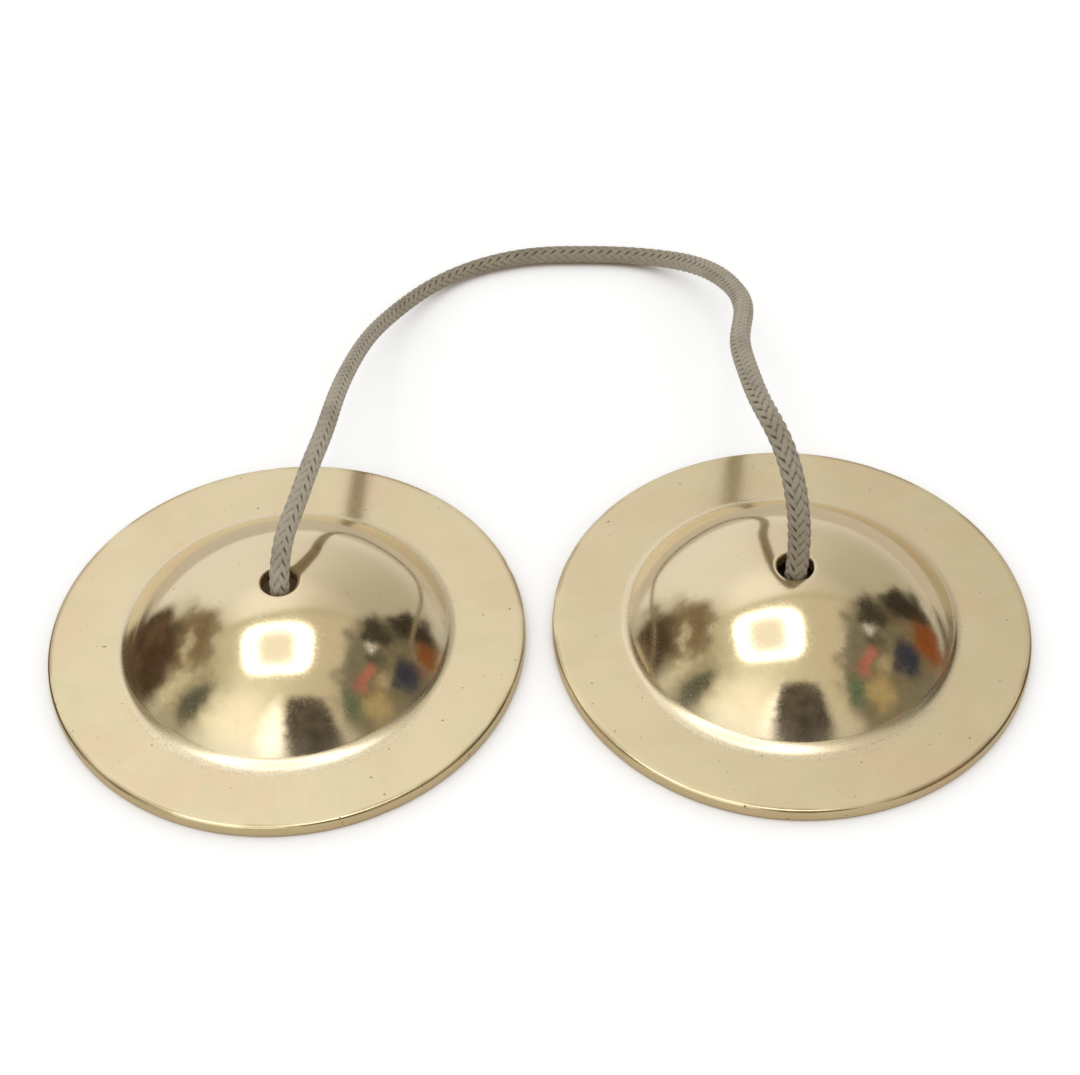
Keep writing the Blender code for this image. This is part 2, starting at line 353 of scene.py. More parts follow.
@dataclass(frozen=True)
class CordFinish:
    """Braided cotton: greyish taupe yarn, with painted shade in a near-black brown down between the stitches, at the
    edges of each yarn and along the seams, and some dirt in worn patches.
    """

    yarn: Colour = (0.49, 0.425, 0.325)
    pale: Colour = (0.66, 0.59, 0.475)
    shade: Colour = (0.30, 0.245, 0.155)
    # The near-black brown that paints the shade between and beside the yarns; worn patches take it too
    dirt: Colour = (0.05, 0.036, 0.02)
    roughness: float = 0.82

    def make(self, name: str) -> bpy.types.Material:
        """Builds the material, which reads the braid's own attributes."""
        material, graph, shader = shader_graph(name)
        deep = graph.signal("ShaderNodeAttribute", {"attribute_name": "deep"}, None, output="Fac")
        seam = graph.signal("ShaderNodeAttribute", {"attribute_name": "seam"}, None, output="Fac")
        darker_stretch = graph.signal("ShaderNodeAttribute", {"attribute_name": "darker_stretch"}, None, output="Fac")
        place = graph.signal("ShaderNodeTexCoord", None, None, output="Object")
        across, _, _ = graph.split(graph.signal("ShaderNodeAttribute", {"attribute_name": "yarn"}, None, output="Vector"))
        # Painted shade at the edges of each yarn, where it dips under its neighbour
        outline = graph.math("ABSOLUTE", across).step(0.25, 0.5)
        fibre = graph.noise(place, 5200.0, 3.0, 0.7)
        cloud = graph.noise(place, 120.0, 2.0)
        yarn = graph.blend(fibre.step(0.3, 0.7), self.yarn, self.pale)
        yarn = graph.blend(cloud.step(0.45, 0.7) * 0.4, yarn, self.shade)
        yarn = graph.blend(darker_stretch * 0.75, yarn, self.shade)
        # Painted shade: down between the yarns, more along the seam grooves, and at the yarn edges; random worn
        # patches and the listed darkening add to it
        gaps = (deep + seam * 0.24 + darker_stretch * 0.05).step(0.36, 0.84) * (0.55 + seam * 0.4)
        gap_shade_and_dirt = graph.math("MAXIMUM", gaps, outline * (0.12 + seam * 0.5 + darker_stretch * 0.12))
        graph.feed(shader.inputs["Base Color"], graph.blend(gap_shade_and_dirt, yarn, self.dirt))
        shader.inputs["Roughness"].default_value = self.roughness
        shader.inputs["Sheen Weight"].default_value = 0.25
        shader.inputs["Sheen Roughness"].default_value = 0.5
        shader.inputs["Specular IOR Level"].default_value = 0.25
        bump = graph.node("ShaderNodeBump", None, {"Strength": 1.0, "Distance": 1.0, "Height": fibre * 0.00004})
        graph.feed(shader.inputs["Normal"], bump.outputs[0])
        return material


class Side(Enum):
    """The pair's two sides, each with its sign along X."""

    LEFT = -1
    RIGHT = 1

    @property
    def word(self) -> str:
        """The side's name as the pieces carry it."""
        return self.name.lower()


def arc(centre: Point, radius: float, start: float, end: float, steps: int) -> list[Point]:
    """Points on an arc in the (distance from axis, height) plane, with angles measured from straight up."""
    turns = [start + (end - start) * step / steps for step in range(steps + 1)]
    return [(centre[0] + radius * sin(turn), centre[1] + radius * cos(turn)) for turn in turns]


@dataclass
class CymbalShape:
    """A cymbal's sizes, in metres, as it is turned from its casting."""

    rim_r: float = 40.0 * MM
    height: float = 15.6 * MM
    rim_t: float = 2.4 * MM
    wall: float = 2.2 * MM
    cove_r: float = 28.6 * MM
    cove_radius: float = 2.2 * MM
    front_radius: float = 6.0 * MM
    front_corner: float = 0.5 * MM
    front_tilt: float = radians(30)
    rim_round: float = 0.55 * MM
    mouth_round: float = 0.9 * MM
    hole_round: float = 0.4 * MM
    hole_r: float = 3.0 * MM

    @property
    def between_centres(self) -> float:
        """How far the centre of the cove's arc is from the centre of the ball that the dome is part of."""
        rise = self.height - self.rim_t
        return (self.cove_r**2 + rise**2) / (2 * rise)

    @property
    def dome_radius(self) -> float:
        """The radius of the ball that the dome is part of."""
        return self.between_centres - self.cove_radius

    @property
    def dome_end_r(self) -> float:
        """How far from the axis the dome meets the cove."""
        return self.cove_r * self.dome_radius / self.between_centres

    def cove_path(self, front: bool) -> tuple[float, float, list[Point]]:
        """Traces the cove, which is one arc, or a tight corner and a wide arc at the front.

        Args:
            front: Whether this is the cove at the front, where it has been filed wider.

        Returns:
            The dome's last angle, the rim's inner radius and 18 points from the one to the other.
        """
        ball, ball_z = self.dome_radius, self.height - self.dome_radius
        if not front:
            dome_end = asin(self.cove_r / self.between_centres)
            cove = (self.cove_r, self.rim_t + self.cove_radius)
            return dome_end, self.cove_r, arc(cove, self.cove_radius, dome_end + pi, pi, 18)[1:]
        between = self.front_radius - self.front_corner
        corner_z = self.rim_t + self.front_radius - between * cos(self.front_tilt)
        dome_end = acos((corner_z - ball_z) / (ball + self.front_corner))
        corner = ((ball + self.front_corner) * sin(dome_end), corner_z)
        cove = (corner[0] + between * sin(self.front_tilt), self.rim_t + self.front_radius)
        path = arc(corner, self.front_corner, dome_end + pi, self.front_tilt + pi, 5)[1:]
        return dome_end, cove[0], path + arc(cove, self.front_radius, self.front_tilt + pi, pi, 13)[1:]

    def outline(self, front: bool = False) -> tuple[list[Point], list[float], list[float]]:
        """Traces the wall.

        Args:
            front: Whether the cove is as at the front.

        Returns:
            The wall's closed outline; for each point 1 inside the bowl or underneath and 0 outside; and
            for each point its zone, which is 0 on the dome, 1 in the cove and 2 on the rim.
        """
        edge = self.hole_r + self.hole_round
        radius = self.dome_radius
        dome = (0.0, self.height - radius)
        dome_end, flat_r, cove = self.cove_path(front)
        inner = radius - self.wall
        rise = self.mouth_round - dome[1]
        out = sqrt((inner + self.mouth_round) ** 2 - rise**2)
        mouth_angle = atan2(out, rise)
        top_angle = asin(edge / (radius - self.hole_round))
        top = (edge, dome[1] + (radius - self.hole_round) * cos(top_angle))
        low_angle = asin(edge / (inner + self.hole_round))
        low = (edge, dome[1] + (inner + self.hole_round) * cos(low_angle))
        side = self.rim_r - self.rim_round

        outside = arc(top, self.hole_round, -pi / 2, top_angle, 5)
        outside += arc(dome, radius, top_angle, dome_end, 60)[1:]
        zones = [0.0] * (len(outside) - 1) + [0.5]
        outside += cove
        zones += [1.0] * 15 + [1.33, 1.67, 2.0]
        outside += [(flat_r + (side - flat_r) * step / 12, self.rim_t) for step in range(1, 12)]
        outside += arc((side, self.rim_t - self.rim_round), self.rim_round, 0, pi / 2, 6)
        outside += arc((side, self.rim_round), self.rim_round, pi / 2, pi, 6)
        inside = [(side + (out - side) * step / 12, 0.0) for step in range(1, 12)]
        inside += arc((out, self.mouth_round), self.mouth_round, pi, mouth_angle + pi, 5)
        inside += arc(dome, inner, mouth_angle, low_angle, 30)[1:]
        inside += arc(low, self.hole_round, low_angle + pi, 3 * pi / 2, 4)[1:]
        outline = outside + inside
        zones += [2.0] * (len(outline) - len(zones))
        return outline, [0.0] * len(outside) + [1.0] * len(inside), zones


@dataclass
class Cymbal:
    """One cast brass cymbal, lying mouth down on the table."""

    side: Side
    axis_x: float
    shape: CymbalShape
    finish: BrassFinish
    turn_steps: int = 224
    ripple: float = 0.02 * MM
    dent: float = 0.14 * MM

    @property
    def name(self) -> str:
        """The piece's name."""
        return f"{self.side.word}_cymbal_brass"

    def seed_mesh(self) -> bpy.types.Mesh:
        """The outline as a mesh of loose points that carry their values and their place at the front."""
        outline, within, zones = self.shape.outline()
        front = self.shape.outline(front=True)[0]
        mesh = bpy.data.meshes.new(self.name + "_outline")
        mesh.from_pydata([(r, 0.0, z) for r, z in outline], [], [])
        for label, values in (("within", within), ("zone", zones)):
            mesh.attributes.new(label, "FLOAT", "POINT").data.foreach_set("value", values)
        places = [value for r, z in front for value in (r, 0.0, z)]
        mesh.attributes.new("front", "FLOAT_VECTOR", "POINT").data.foreach_set("vector", places)
        return mesh

    @staticmethod
    def turning_tree() -> bpy.types.NodeTree:
        """A tree that turns an outline about an upright axis and ripples its surface a little."""
        inputs = {
            "Axis X": "NodeSocketFloat",
            "Steps": "NodeSocketInt",
            "Ripple": "NodeSocketFloat",
            "Dent": "NodeSocketFloat",
            "Rim Radius": "NodeSocketFloat",
            "Brass": "NodeSocketMaterial",
        }
        graph, start, end = geometry_graph("turned casting", inputs)
        count = graph.signal("GeometryNodeAttributeDomainSize", {"component": "MESH"}, {0: start.outputs["Geometry"]})
        steps = Signal(graph, start.outputs["Steps"])
        grid = graph.node("GeometryNodeMeshGrid", None, {"Vertices X": steps + 1, "Vertices Y": count + 1})
        index = graph.signal("GeometryNodeInputIndex")
        row = graph.math("MODULO", index, count + 1)
        turn = graph.math("FLOOR", index / (count + 1)) * (2 * pi) / steps
        corner = graph.math("MODULO", row, count)

        def on_outline(value: bpy.types.NodeSocket, kind: str) -> Signal:
            """What the outline's point of this corner carries."""
            settings = {"data_type": kind, "domain": "POINT"}
            sockets = {"Geometry": start.outputs["Geometry"], "Value": value, "Index": corner}
            return graph.signal("GeometryNodeSampleIndex", settings, sockets)

        def named(label: str, kind: str) -> Signal:
            """An attribute of the outline's point of this corner."""
            node = graph.node("GeometryNodeInputNamedAttribute", {"data_type": kind}, {"Name": label})
            return on_outline(node.outputs[0], kind)

        east = graph.math("COSINE", turn)
        north = graph.math("SINE", turn)

        # The cove is wider towards the front
        radius, _, height = graph.split(on_outline(graph.node("GeometryNodeInputPosition").outputs[0], "FLOAT_VECTOR"))
        front_radius, _, front_height = graph.split(named("front", "FLOAT_VECTOR"))
        frontal = north.step(-0.4, -0.82)
        radius = radius + (front_radius - radius) * frontal
        height = height + (front_height - height) * frontal

        # A hand-held file and a few knocks leave the rim a hair short of a true circle
        around = graph.combine(east * 0.04 + Signal(graph, start.outputs["Axis X"]), north * 0.04, height)
        knock = graph.noise(around, 190.0, 3.0).step(0.6, 0.78) * Signal(graph, start.outputs["Dent"])
        at_rim = radius / Signal(graph, start.outputs["Rim Radius"])
        filed = radius - knock * at_rim.step(0.975, 1.0)
        placed = graph.combine(filed * east + Signal(graph, start.outputs["Axis X"]), filed * north, height)
        moved = graph.node("GeometryNodeSetPosition", None, {"Geometry": grid.outputs["Mesh"], "Position": placed})
        kept = moved
        for label in ("within", "zone"):
            settings = {"data_type": "FLOAT", "domain": "POINT"}
            sockets = {"Geometry": kept.outputs[0], "Name": label, "Value": named(label, "FLOAT")}
            kept = graph.node("GeometryNodeStoreNamedAttribute", settings, sockets)
        wave = (graph.noise(placed, 75.0, 1.0) - 0.5) * Signal(graph, start.outputs["Ripple"]) * height.step(0.0005, 0.002)
        outward = graph.node("ShaderNodeVectorMath", {"operation": "SCALE"}, {0: graph.combine(east, north, 1.0), "Scale": wave})
        rippled = graph.node("GeometryNodeSetPosition", None, {"Geometry": kept.outputs[0], "Offset": outward.outputs[0]})
        realized = graph.node("GeometryNodeRealizeInstances", None, {0: rippled.outputs[0]})
        dressed = graph.node("GeometryNodeSetMaterial", None, {"Geometry": realized.outputs[0], "Material": start.outputs["Brass"]})
        graph.feed(end.inputs[0], dressed.outputs[0])
        return graph.tree

    def build(self, tree: bpy.types.NodeTree) -> bpy.types.Object:
        """Turns the cymbal, dresses it and puts it in its node's place."""
        values = {
            "Axis X": self.axis_x,
            "Steps": self.turn_steps,
            "Ripple": self.ripple,
            "Dent": self.dent,
            "Rim Radius": self.shape.rim_r,
            "Brass": self.finish.make(self.name, self.shape, self.axis_x),
        }
        piece = grown(self.name, self.seed_mesh(), tree, values)
        close_up(piece)
        piece.data.set_sharp_from_angle(angle=radians(50))
        node = f"{self.side.word}_cymbal"
        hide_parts(node)
        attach(piece, node)
        log.info("%s: %d faces", piece.name, len(piece.data.polygons))
        return piece


@dataclass(frozen=True)
class KnotShape:
    """The stopper knot inside each bowl: an overhand knot closed up; sizes are in cord diameters."""

    ring: float = 1.34
    lobe: float = 0.60
    rise: float = 0.62
    reach: float = 0.95
    drop: float = 1.00
    tail: float = 9.0 * MM
    lift: float = 1.0 * MM
    entry: float = pi / 6 + 0.12

    def on_ring(self, angle: float, cord_d: float) -> tuple[Vector, Vector]:
        """A point on the knot's ring and the direction of the cord there."""
        spread = self.ring * cord_d + self.lobe * cord_d * cos(3 * angle)
        pull = -3 * self.lobe * cord_d * sin(3 * angle)
        rise = self.rise * cord_d
        point = Vector((spread * cos(2 * angle), spread * sin(2 * angle), rise * sin(3 * angle)))
        east = pull * cos(2 * angle) - 2 * spread * sin(2 * angle)
        north = pull * sin(2 * angle) + 2 * spread * cos(2 * angle)
        return point, Vector((east, north, 3 * rise * cos(3 * angle))).normalized()

    def line(self, turn: float, axis_x: float, cord_d: float) -> list[Vector]:
        """The knot's centreline from below its neck to its loose end.

        Args:
            turn: How far the knot is turned about the hole's axis.
            axis_x: Where that axis stands.
            cord_d: The cord's diameter.

        Returns:
            Points about a millimetre and a half apart.
        """
        first, first_along = self.on_ring(self.entry, cord_d)
        last, last_along = self.on_ring(2 * pi - pi / 6, cord_d)
        axis = first - first_along * self.reach * cord_d
        neck = Vector((axis.x, axis.y, first.z + self.drop * cord_d))
        pull = 0.6 * cord_d
        points = self.bezier(neck, neck - Vector((0, 0, pull)), first - first_along * pull, first, 5)
        span = 2 * pi - pi / 6 - self.entry
        points += [self.on_ring(self.entry + span * step / 34, cord_d)[0] for step in range(1, 34)]
        out = last + last_along * self.tail + Vector((0, -2.0 * MM, 0.6 * MM))
        points += self.bezier(last, last + last_along * 0.4 * self.tail, out - last_along * 0.3 * self.tail, out, 4)
        height = cord_d / 2 + self.lift + self.rise * cord_d
        stand = Matrix.Translation((axis_x, 0, 0)) @ Matrix.Rotation(turn, 4, "Z")
        place = stand @ Matrix.Translation((-axis.x, -axis.y, height))
        return [place @ point for point in points]

    @staticmethod
    def bezier(start: Vector, pull_a: Vector, pull_b: Vector, end: Vector, steps: int) -> list[Vector]:
        """Points along a cubic Bezier curve."""
        points = []
        for step in range(steps + 1):
            t = step / steps
            s = 1 - t
            points.append(s**3 * start + 3 * s**2 * t * pull_a + 3 * s * t**2 * pull_b + t**3 * end)
        return points


@dataclass
class CordRoute:
    """The cord's centreline, from the end of the left knot over the loop to the end of the right knot.

    left and right list, for each given point, how far it is across from the hole's axis, how far
    back, and how high the cord's underside is above the table.
    """

    hole_x: float = 42.25 * MM
    diameter: float = 3.6 * MM
    neck_z: float = 13.2 * MM
    neck_forward: float = 0.7 * MM
    bend: tuple[float, float, float] = (0.0027, 0.0981, 0.0001)
    knot: KnotShape = KnotShape()
    left_turn: float = radians(35)
    right_turn: float = radians(215)
    left: tuple[tuple[float, float, float], ...] = (
        (0.0009, 0.0047, 0.0180),
        (0.0028, 0.0105, 0.0204),
        (0.0047, 0.0176, 0.0216),
        (0.0066, 0.0263, 0.0212),
        (0.0079, 0.0386, 0.0180),
        (0.0097, 0.0531, 0.0130),
        (0.0127, 0.0676, 0.0076),
        (0.0175, 0.0800, 0.0031),
        (0.0232, 0.0887, 0.0008),
        (0.0300, 0.0941, 0.0001),
        (0.0374, 0.0969, 0.0001),
    )
    right: tuple[tuple[float, float, float], ...] = (
        (0.0004, 0.0008, 0.0178),
        (-0.0001, 0.0028, 0.0250),
        (-0.0011, 0.0060, 0.0298),
        (-0.0027, 0.0106, 0.0328),
        (-0.0047, 0.0175, 0.0332),
        (-0.0059, 0.0293, 0.0300),
        (-0.0059, 0.0432, 0.0248),
        (-0.0038, 0.0578, 0.0190),
        (-0.0050, 0.0747, 0.0114),
        (-0.0101, 0.0879, 0.0048),
        (-0.0170, 0.0950, 0.0010),
        (-0.0244, 0.0974, 0.0001),
        (-0.0320, 0.0980, 0.0001),
    )

    def controls(self) -> list[Vector]:
        """All the points that the cord runs through, in order from left to right."""
        radius = self.diameter / 2
        left_knot = self.knot.line(self.left_turn, -self.hole_x, self.diameter)
        right_knot = self.knot.line(self.right_turn, self.hole_x, self.diameter)
        left = [Vector((-self.hole_x + across, back, radius + lift)) for across, back, lift in self.left]
        right = [Vector((self.hole_x + across, back, radius + lift)) for across, back, lift in self.right]
        left_neck = Vector((-self.hole_x, -self.neck_forward, self.neck_z))
        right_neck = Vector((self.hole_x, -self.neck_forward, self.neck_z))
        middle = Vector((self.bend[0], self.bend[1], radius + self.bend[2]))
        return left_knot[::-1] + [left_neck] + left + [middle] + right[::-1] + [right_neck] + right_knot

    def line(self, spacing: float) -> np.ndarray:
        """Points at even distances on the natural cubic spline through controls().

        Args:
            spacing: The distance wanted between neighbours.

        Returns:
            One row of three numbers for each point.
        """
        route = np.array(self.controls())
        spans = np.linalg.norm(np.diff(route, axis=0), axis=1)
        count = len(route)
        left = np.eye(count)
        right = np.zeros_like(route)
        for i in range(1, count - 1):
            left[i, i - 1 : i + 2] = (spans[i - 1], 2 * (spans[i - 1] + spans[i]), spans[i])
            slope_in = (route[i] - route[i - 1]) / spans[i - 1]
            right[i] = 6 * ((route[i + 1] - route[i]) / spans[i] - slope_in)
        bent = np.linalg.solve(left, right)
        fine = [route[:1]]
        for i, span in enumerate(spans):
            share = np.linspace(0, 1, 60)[1:, None]
            a, b = (1 - share) * span, share * span
            curved = (bent[i] * (a**3 - span**2 * a) + bent[i + 1] * (b**3 - span**2 * b)) / (6 * span)
            fine.append((1 - share) * route[i] + share * route[i + 1] + curved)
        dense = np.concatenate(fine)
        reach = np.concatenate(([0.0], np.cumsum(np.linalg.norm(np.diff(dense, axis=0), axis=1))))
        stops = np.linspace(0, reach[-1], round(reach[-1] / spacing) + 1)
        return np.stack([np.interp(stops, reach, dense[:, i]) for i in range(3)], axis=1)


@dataclass
class BraidShape:
    """A round braid of eight yarns each way, every yarn over two and under two; lengths in metres."""

    yarns: int = 8
    core_r: float = 1.33 * MM
    yarn_rise: float = 0.30 * MM
    weave_rise: float = 0.17 * MM
    seam_groove: float = 0.12 * MM
    seams: tuple[float, float] = (0.21, 0.93)
    lay: float = 15.0 * MM
    steps_around: int = 96
    row_step: float = 0.15 * MM
    slub: float = 0.05 * MM

    def tree(self) -> bpy.types.NodeTree:
        """A tree that braids yarns round a line of points.

        The line's points carry the vectors "side" and "up" across the cord, the distance "along" it, its
        "girth", a factor on the radius, and its "darker_stretch", a listed darkening that is higher where the yarn is
        made darker. The result carries "deep", which is 1 down between the yarns, "seam", which is 1 in the seam
        grooves, where shade is painted, and part way in random worn patches, and "yarn", a place on the yarn on top.

        Returns:
            The Geometry Nodes tree.
        """
        labels = ("Core Radius", "Yarn Rise", "Weave Rise", "Seam Groove", "Lay Length", "Slub")
        inputs = {"Steps Around": "NodeSocketInt", "Yarns": "NodeSocketInt"}
        inputs |= {label: "NodeSocketFloat" for label in labels} | {"Cotton": "NodeSocketMaterial"}
        graph, start, end = geometry_graph("braided cord", inputs)
        core, yarn_rise, weave_rise, groove, lay, slub = (Signal(graph, start.outputs[label]) for label in labels)
        steps = Signal(graph, start.outputs["Steps Around"])
        yarns = Signal(graph, start.outputs["Yarns"])
        line = start.outputs["Geometry"]
        count = graph.signal("GeometryNodeAttributeDomainSize", {"component": "MESH"}, {0: line})
        grid = graph.node("GeometryNodeMeshGrid", None, {"Vertices X": count, "Vertices Y": steps + 1})
        index = graph.signal("GeometryNodeInputIndex")
        row = graph.math("FLOOR", index / (steps + 1))
        share = graph.math("MODULO", index, steps + 1) / steps

        def on_line(label: str, kind: str) -> Signal:
            """The value that the line's point of this row carries."""
            named = graph.node("GeometryNodeInputNamedAttribute", {"data_type": kind}, {"Name": label})
            settings = {"data_type": kind, "domain": "POINT"}
            return graph.signal("GeometryNodeSampleIndex", settings, {0: line, 1: named.outputs[0], "Index": row})

        along = on_line("along", "FLOAT")
        turns = along / lay
        first = (share - turns) * yarns
        second = (share + turns) * yarns
        tops = []
        for own, other, sign in ((first, second, 1.0), (second, first, -1.0)):
            across = graph.math("FRACT", own) - 0.5
            full = graph.math("SQRT", graph.math("MAXIMUM", 1.0 - across * across * 4.0, 0.0))
            sway = graph.math("SINE", (other + graph.math("FLOOR", own)) * (pi / 2)) * sign
            tops.append((across, other, full * yarn_rise + sway * weave_rise))
        height = graph.math("SMOOTH_MAX", tops[0][2], tops[1][2], 0.00008)
        turn = share * (2 * pi)
        east = graph.math("COSINE", turn)
        north = graph.math("SINE", turn)
        at_seam = 0.0
        for place in self.seams:
            apart = graph.math("ABSOLUTE", graph.math("FRACT", share - place + 0.5) - 0.5)
            at_seam = graph.math("MAXIMUM", at_seam, apart.step(0.05, 0.012))
        lumps = graph.noise(graph.combine(east, north, along * 500.0), 1.6, 2.0) - 0.5
        radius = (core + height - at_seam * groove + lumps * slub) * on_line("girth", "FLOAT")
        spot = on_line("spot", "FLOAT_VECTOR")
        for label, reach in (("side", east * radius), ("up", north * radius)):
            settings = {"operation": "MULTIPLY_ADD"}
            spot = graph.signal("ShaderNodeVectorMath", settings, {0: on_line(label, "FLOAT_VECTOR"), 1: reach, 2: spot})
        shaped = graph.signal("GeometryNodeSetPosition", None, {"Geometry": grid.outputs["Mesh"], "Position": spot})

        # What the material reads: how deep between the yarns, where shade is painted along the seams and where worn
        # patches sit, and the place on the top yarn
        depth = 1.0 - height / (yarn_rise + weave_rise)
        column = graph.math("FLOOR", share * yarns + 0.5)
        worn = graph.noise(graph.combine(column * 3.7, along * 24.0, 0.0), 1.0, 2.0)
        on_top = graph.math("GREATER_THAN", tops[0][2], tops[1][2])
        across = tops[1][0] + on_top * (tops[0][0] - tops[1][0])
        run = tops[1][1] + on_top * (tops[0][1] - tops[1][1])
        for label, value, kind in (
            ("deep", depth, "FLOAT"),
            ("seam", graph.math("MAXIMUM", at_seam, worn.step(0.45, 0.66) * 0.55), "FLOAT"),
            ("darker_stretch", on_line("darker_stretch", "FLOAT"), "FLOAT"),
            ("yarn", graph.combine(across, run, on_top), "FLOAT_VECTOR"),
        ):
            settings = {"data_type": kind, "domain": "POINT"}
            sockets = {"Geometry": shaped, "Name": label, "Value": value}
            shaped = graph.signal("GeometryNodeStoreNamedAttribute", settings, sockets)
        realized = graph.signal("GeometryNodeRealizeInstances", None, {0: shaped})
        sockets = {"Geometry": realized, "Material": start.outputs["Cotton"]}
        graph.feed(end.inputs[0], graph.signal("GeometryNodeSetMaterial", None, sockets))
        return graph.tree

    def values(self, cotton: bpy.types.Material) -> dict[str, object]:
        """The tree's inputs, by name."""
        return {
            "Steps Around": self.steps_around,
            "Yarns": self.yarns,
            "Core Radius": self.core_r,
            "Yarn Rise": self.yarn_rise,
            "Weave Rise": self.weave_rise,
            "Seam Groove": self.seam_groove,
            "Lay Length": self.lay,
            "Slub": self.slub,
            "Cotton": cotton,
        }


@dataclass
class Cord:
    """The braided cord, in three pieces that meet end to end: a stopper knot with its lead on each side,
    and the loop between them."""

    route: CordRoute
    braid: BraidShape
    finish: CordFinish
    knot_length: float = 77.5 * MM
    between_holes: float = 261.0 * MM
    lead: float = 60.0 * MM
    pivot_z: float = 17.7 * MM
    bend_half: float = 13.0 * MM
    end_taper: float = 1.1 * MM
    end_girth: float = 0.5
    girth: tuple[tuple[float, float], ...] = (
        (0.0, 0.95),
        (0.25, 0.95),
        (0.31, 0.88),
        (0.36, 0.82),
        (0.44, 0.82),
        (0.48, 0.93),
        (0.55, 1.0),
        (0.62, 1.02),
        (0.74, 1.02),
        (0.80, 1.08),
        (0.84, 1.0),
        (1.0, 1.0),
    )

    # How much darker the yarn is made along the cord, by share of its length
    darker_stretch: tuple[tuple[float, float], ...] = (
        (0.0, 0.3),
        (0.18, 0.15),
        (0.30, 0.1),
        (0.36, 0.5),
        (0.42, 0.75),
        (0.52, 0.7),
        (0.57, 0.2),
        (0.64, 0.1),
        (0.72, 0.25),
        (0.78, 0.5),
        (0.81, 0.9),
        (1.0, 0.4),
    )

    def __post_init__(self) -> None:
        """Lays the centreline, with the directions across it carried along without a twist."""
        self.spots = self.route.line(self.braid.row_step)
        tangents = np.gradient(self.spots, axis=0)
        tangents /= np.linalg.norm(tangents, axis=1)[:, None]
        side = np.cross(tangents[0], (0.0, 0.0, 1.0))
        sides = []
        for tangent in tangents:
            side = side - tangent * side.dot(tangent)
            side = side / np.linalg.norm(side)
            sides.append(side)
        self.sides = np.array(sides)
        self.ups = np.cross(tangents, self.sides)
        steps = np.linalg.norm(np.diff(self.spots, axis=0), axis=1)
        self.along = np.concatenate(([0.0], np.cumsum(steps)))

    def row_at(self, side: Side) -> int:
        """The row of the centreline where the piece with this side's knot meets the loop."""
        pivot = np.array((side.value * self.route.hole_x, 0.0, self.pivot_z))
        at_pivot = self.along[np.argmin(np.linalg.norm(self.spots - pivot, axis=1))]
        return int(np.argmin(np.abs(self.along - at_pivot + side.value * self.lead)))

    def seed_mesh(self, name: str, rows: slice) -> bpy.types.Mesh:
        """The rows of the centreline as a mesh of loose points with their values."""
        girth, darker_stretch = (np.interp(self.along / self.along[-1], *zip(*table)) for table in (self.girth, self.darker_stretch))
        to_end = np.minimum(self.along, self.along[-1] - self.along) / self.end_taper
        girth *= self.end_girth + (1 - self.end_girth) * np.sqrt(1 - (1 - np.minimum(to_end, 1)) ** 2)
        mesh = bpy.data.meshes.new(name + "_line")
        mesh.from_pydata(self.spots[rows].tolist(), [], [])
        for label, values in (("along", self.along), ("girth", girth), ("darker_stretch", darker_stretch)):
            mesh.attributes.new(label, "FLOAT", "POINT").data.foreach_set("value", values[rows].ravel())
        for label, values in (("spot", self.spots), ("side", self.sides), ("up", self.ups)):
            mesh.attributes.new(label, "FLOAT_VECTOR", "POINT").data.foreach_set("vector", values[rows].ravel())
        return mesh

    def stretch(self, name: str, rows: slice, tree: bpy.types.NodeTree, nodes: Sequence[str]) -> bpy.types.Object:
        """Braids one piece of the cord and puts it in the place of its nodes."""
        piece = grown(name, self.seed_mesh(name, rows), tree, self.braid.values(self.finish.make(name)))
        close_up(piece)
        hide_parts(*nodes)
        log.info("%s: %d faces", piece.name, len(piece.data.polygons))
        return piece

    def build(self, tree: bpy.types.NodeTree) -> None:
        """Braids the three pieces and hides the model's nodes that each one replaces."""
        left_row = self.row_at(Side.LEFT)
        right_row = self.row_at(Side.RIGHT)
        last = len(self.spots)
        knots = ((Side.LEFT, slice(0, left_row + 1)), (Side.RIGHT, slice(right_row, last)))
        for side, rows in knots:
            name = side.word + "_knot"
            piece = self.stretch(name + "_cotton", rows, tree, [name])
            side.word + "_cord"
            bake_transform(piece)
        rows = slice(left_row, right_row + 1)
        piece = self.stretch("cord_loop_cotton", rows, tree, ["left_cord", "right_cord"])
        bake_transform(piece)


@dataclass(frozen=True)
class Patch:
    """A darker or lighter part of the room, seen only in the brass.

    Directions are in degrees: azimuth 0 is towards -Y and 90 towards +X, elevation is above the horizon.
    """

    azimuth: float
    elevation: float
    half_width: float
    half_height: float
    colour: Colour
    ragged: float = 0.4
    soft: float = 0.35
    boxy: float = 2.0


@dataclass(frozen=True)
class Panel:
    """An upright panel beside the table, seen only in the brass, with a soft ragged outline.

    It faces the direction of azimuth facing, in degrees, where 0 is towards -Y and 90 towards +X.
    """

    name: str
    centre: tuple[float, float, float]
    facing: float
    half_width: float
    half_height: float
    colour: Colour
    ragged: float = 0.35


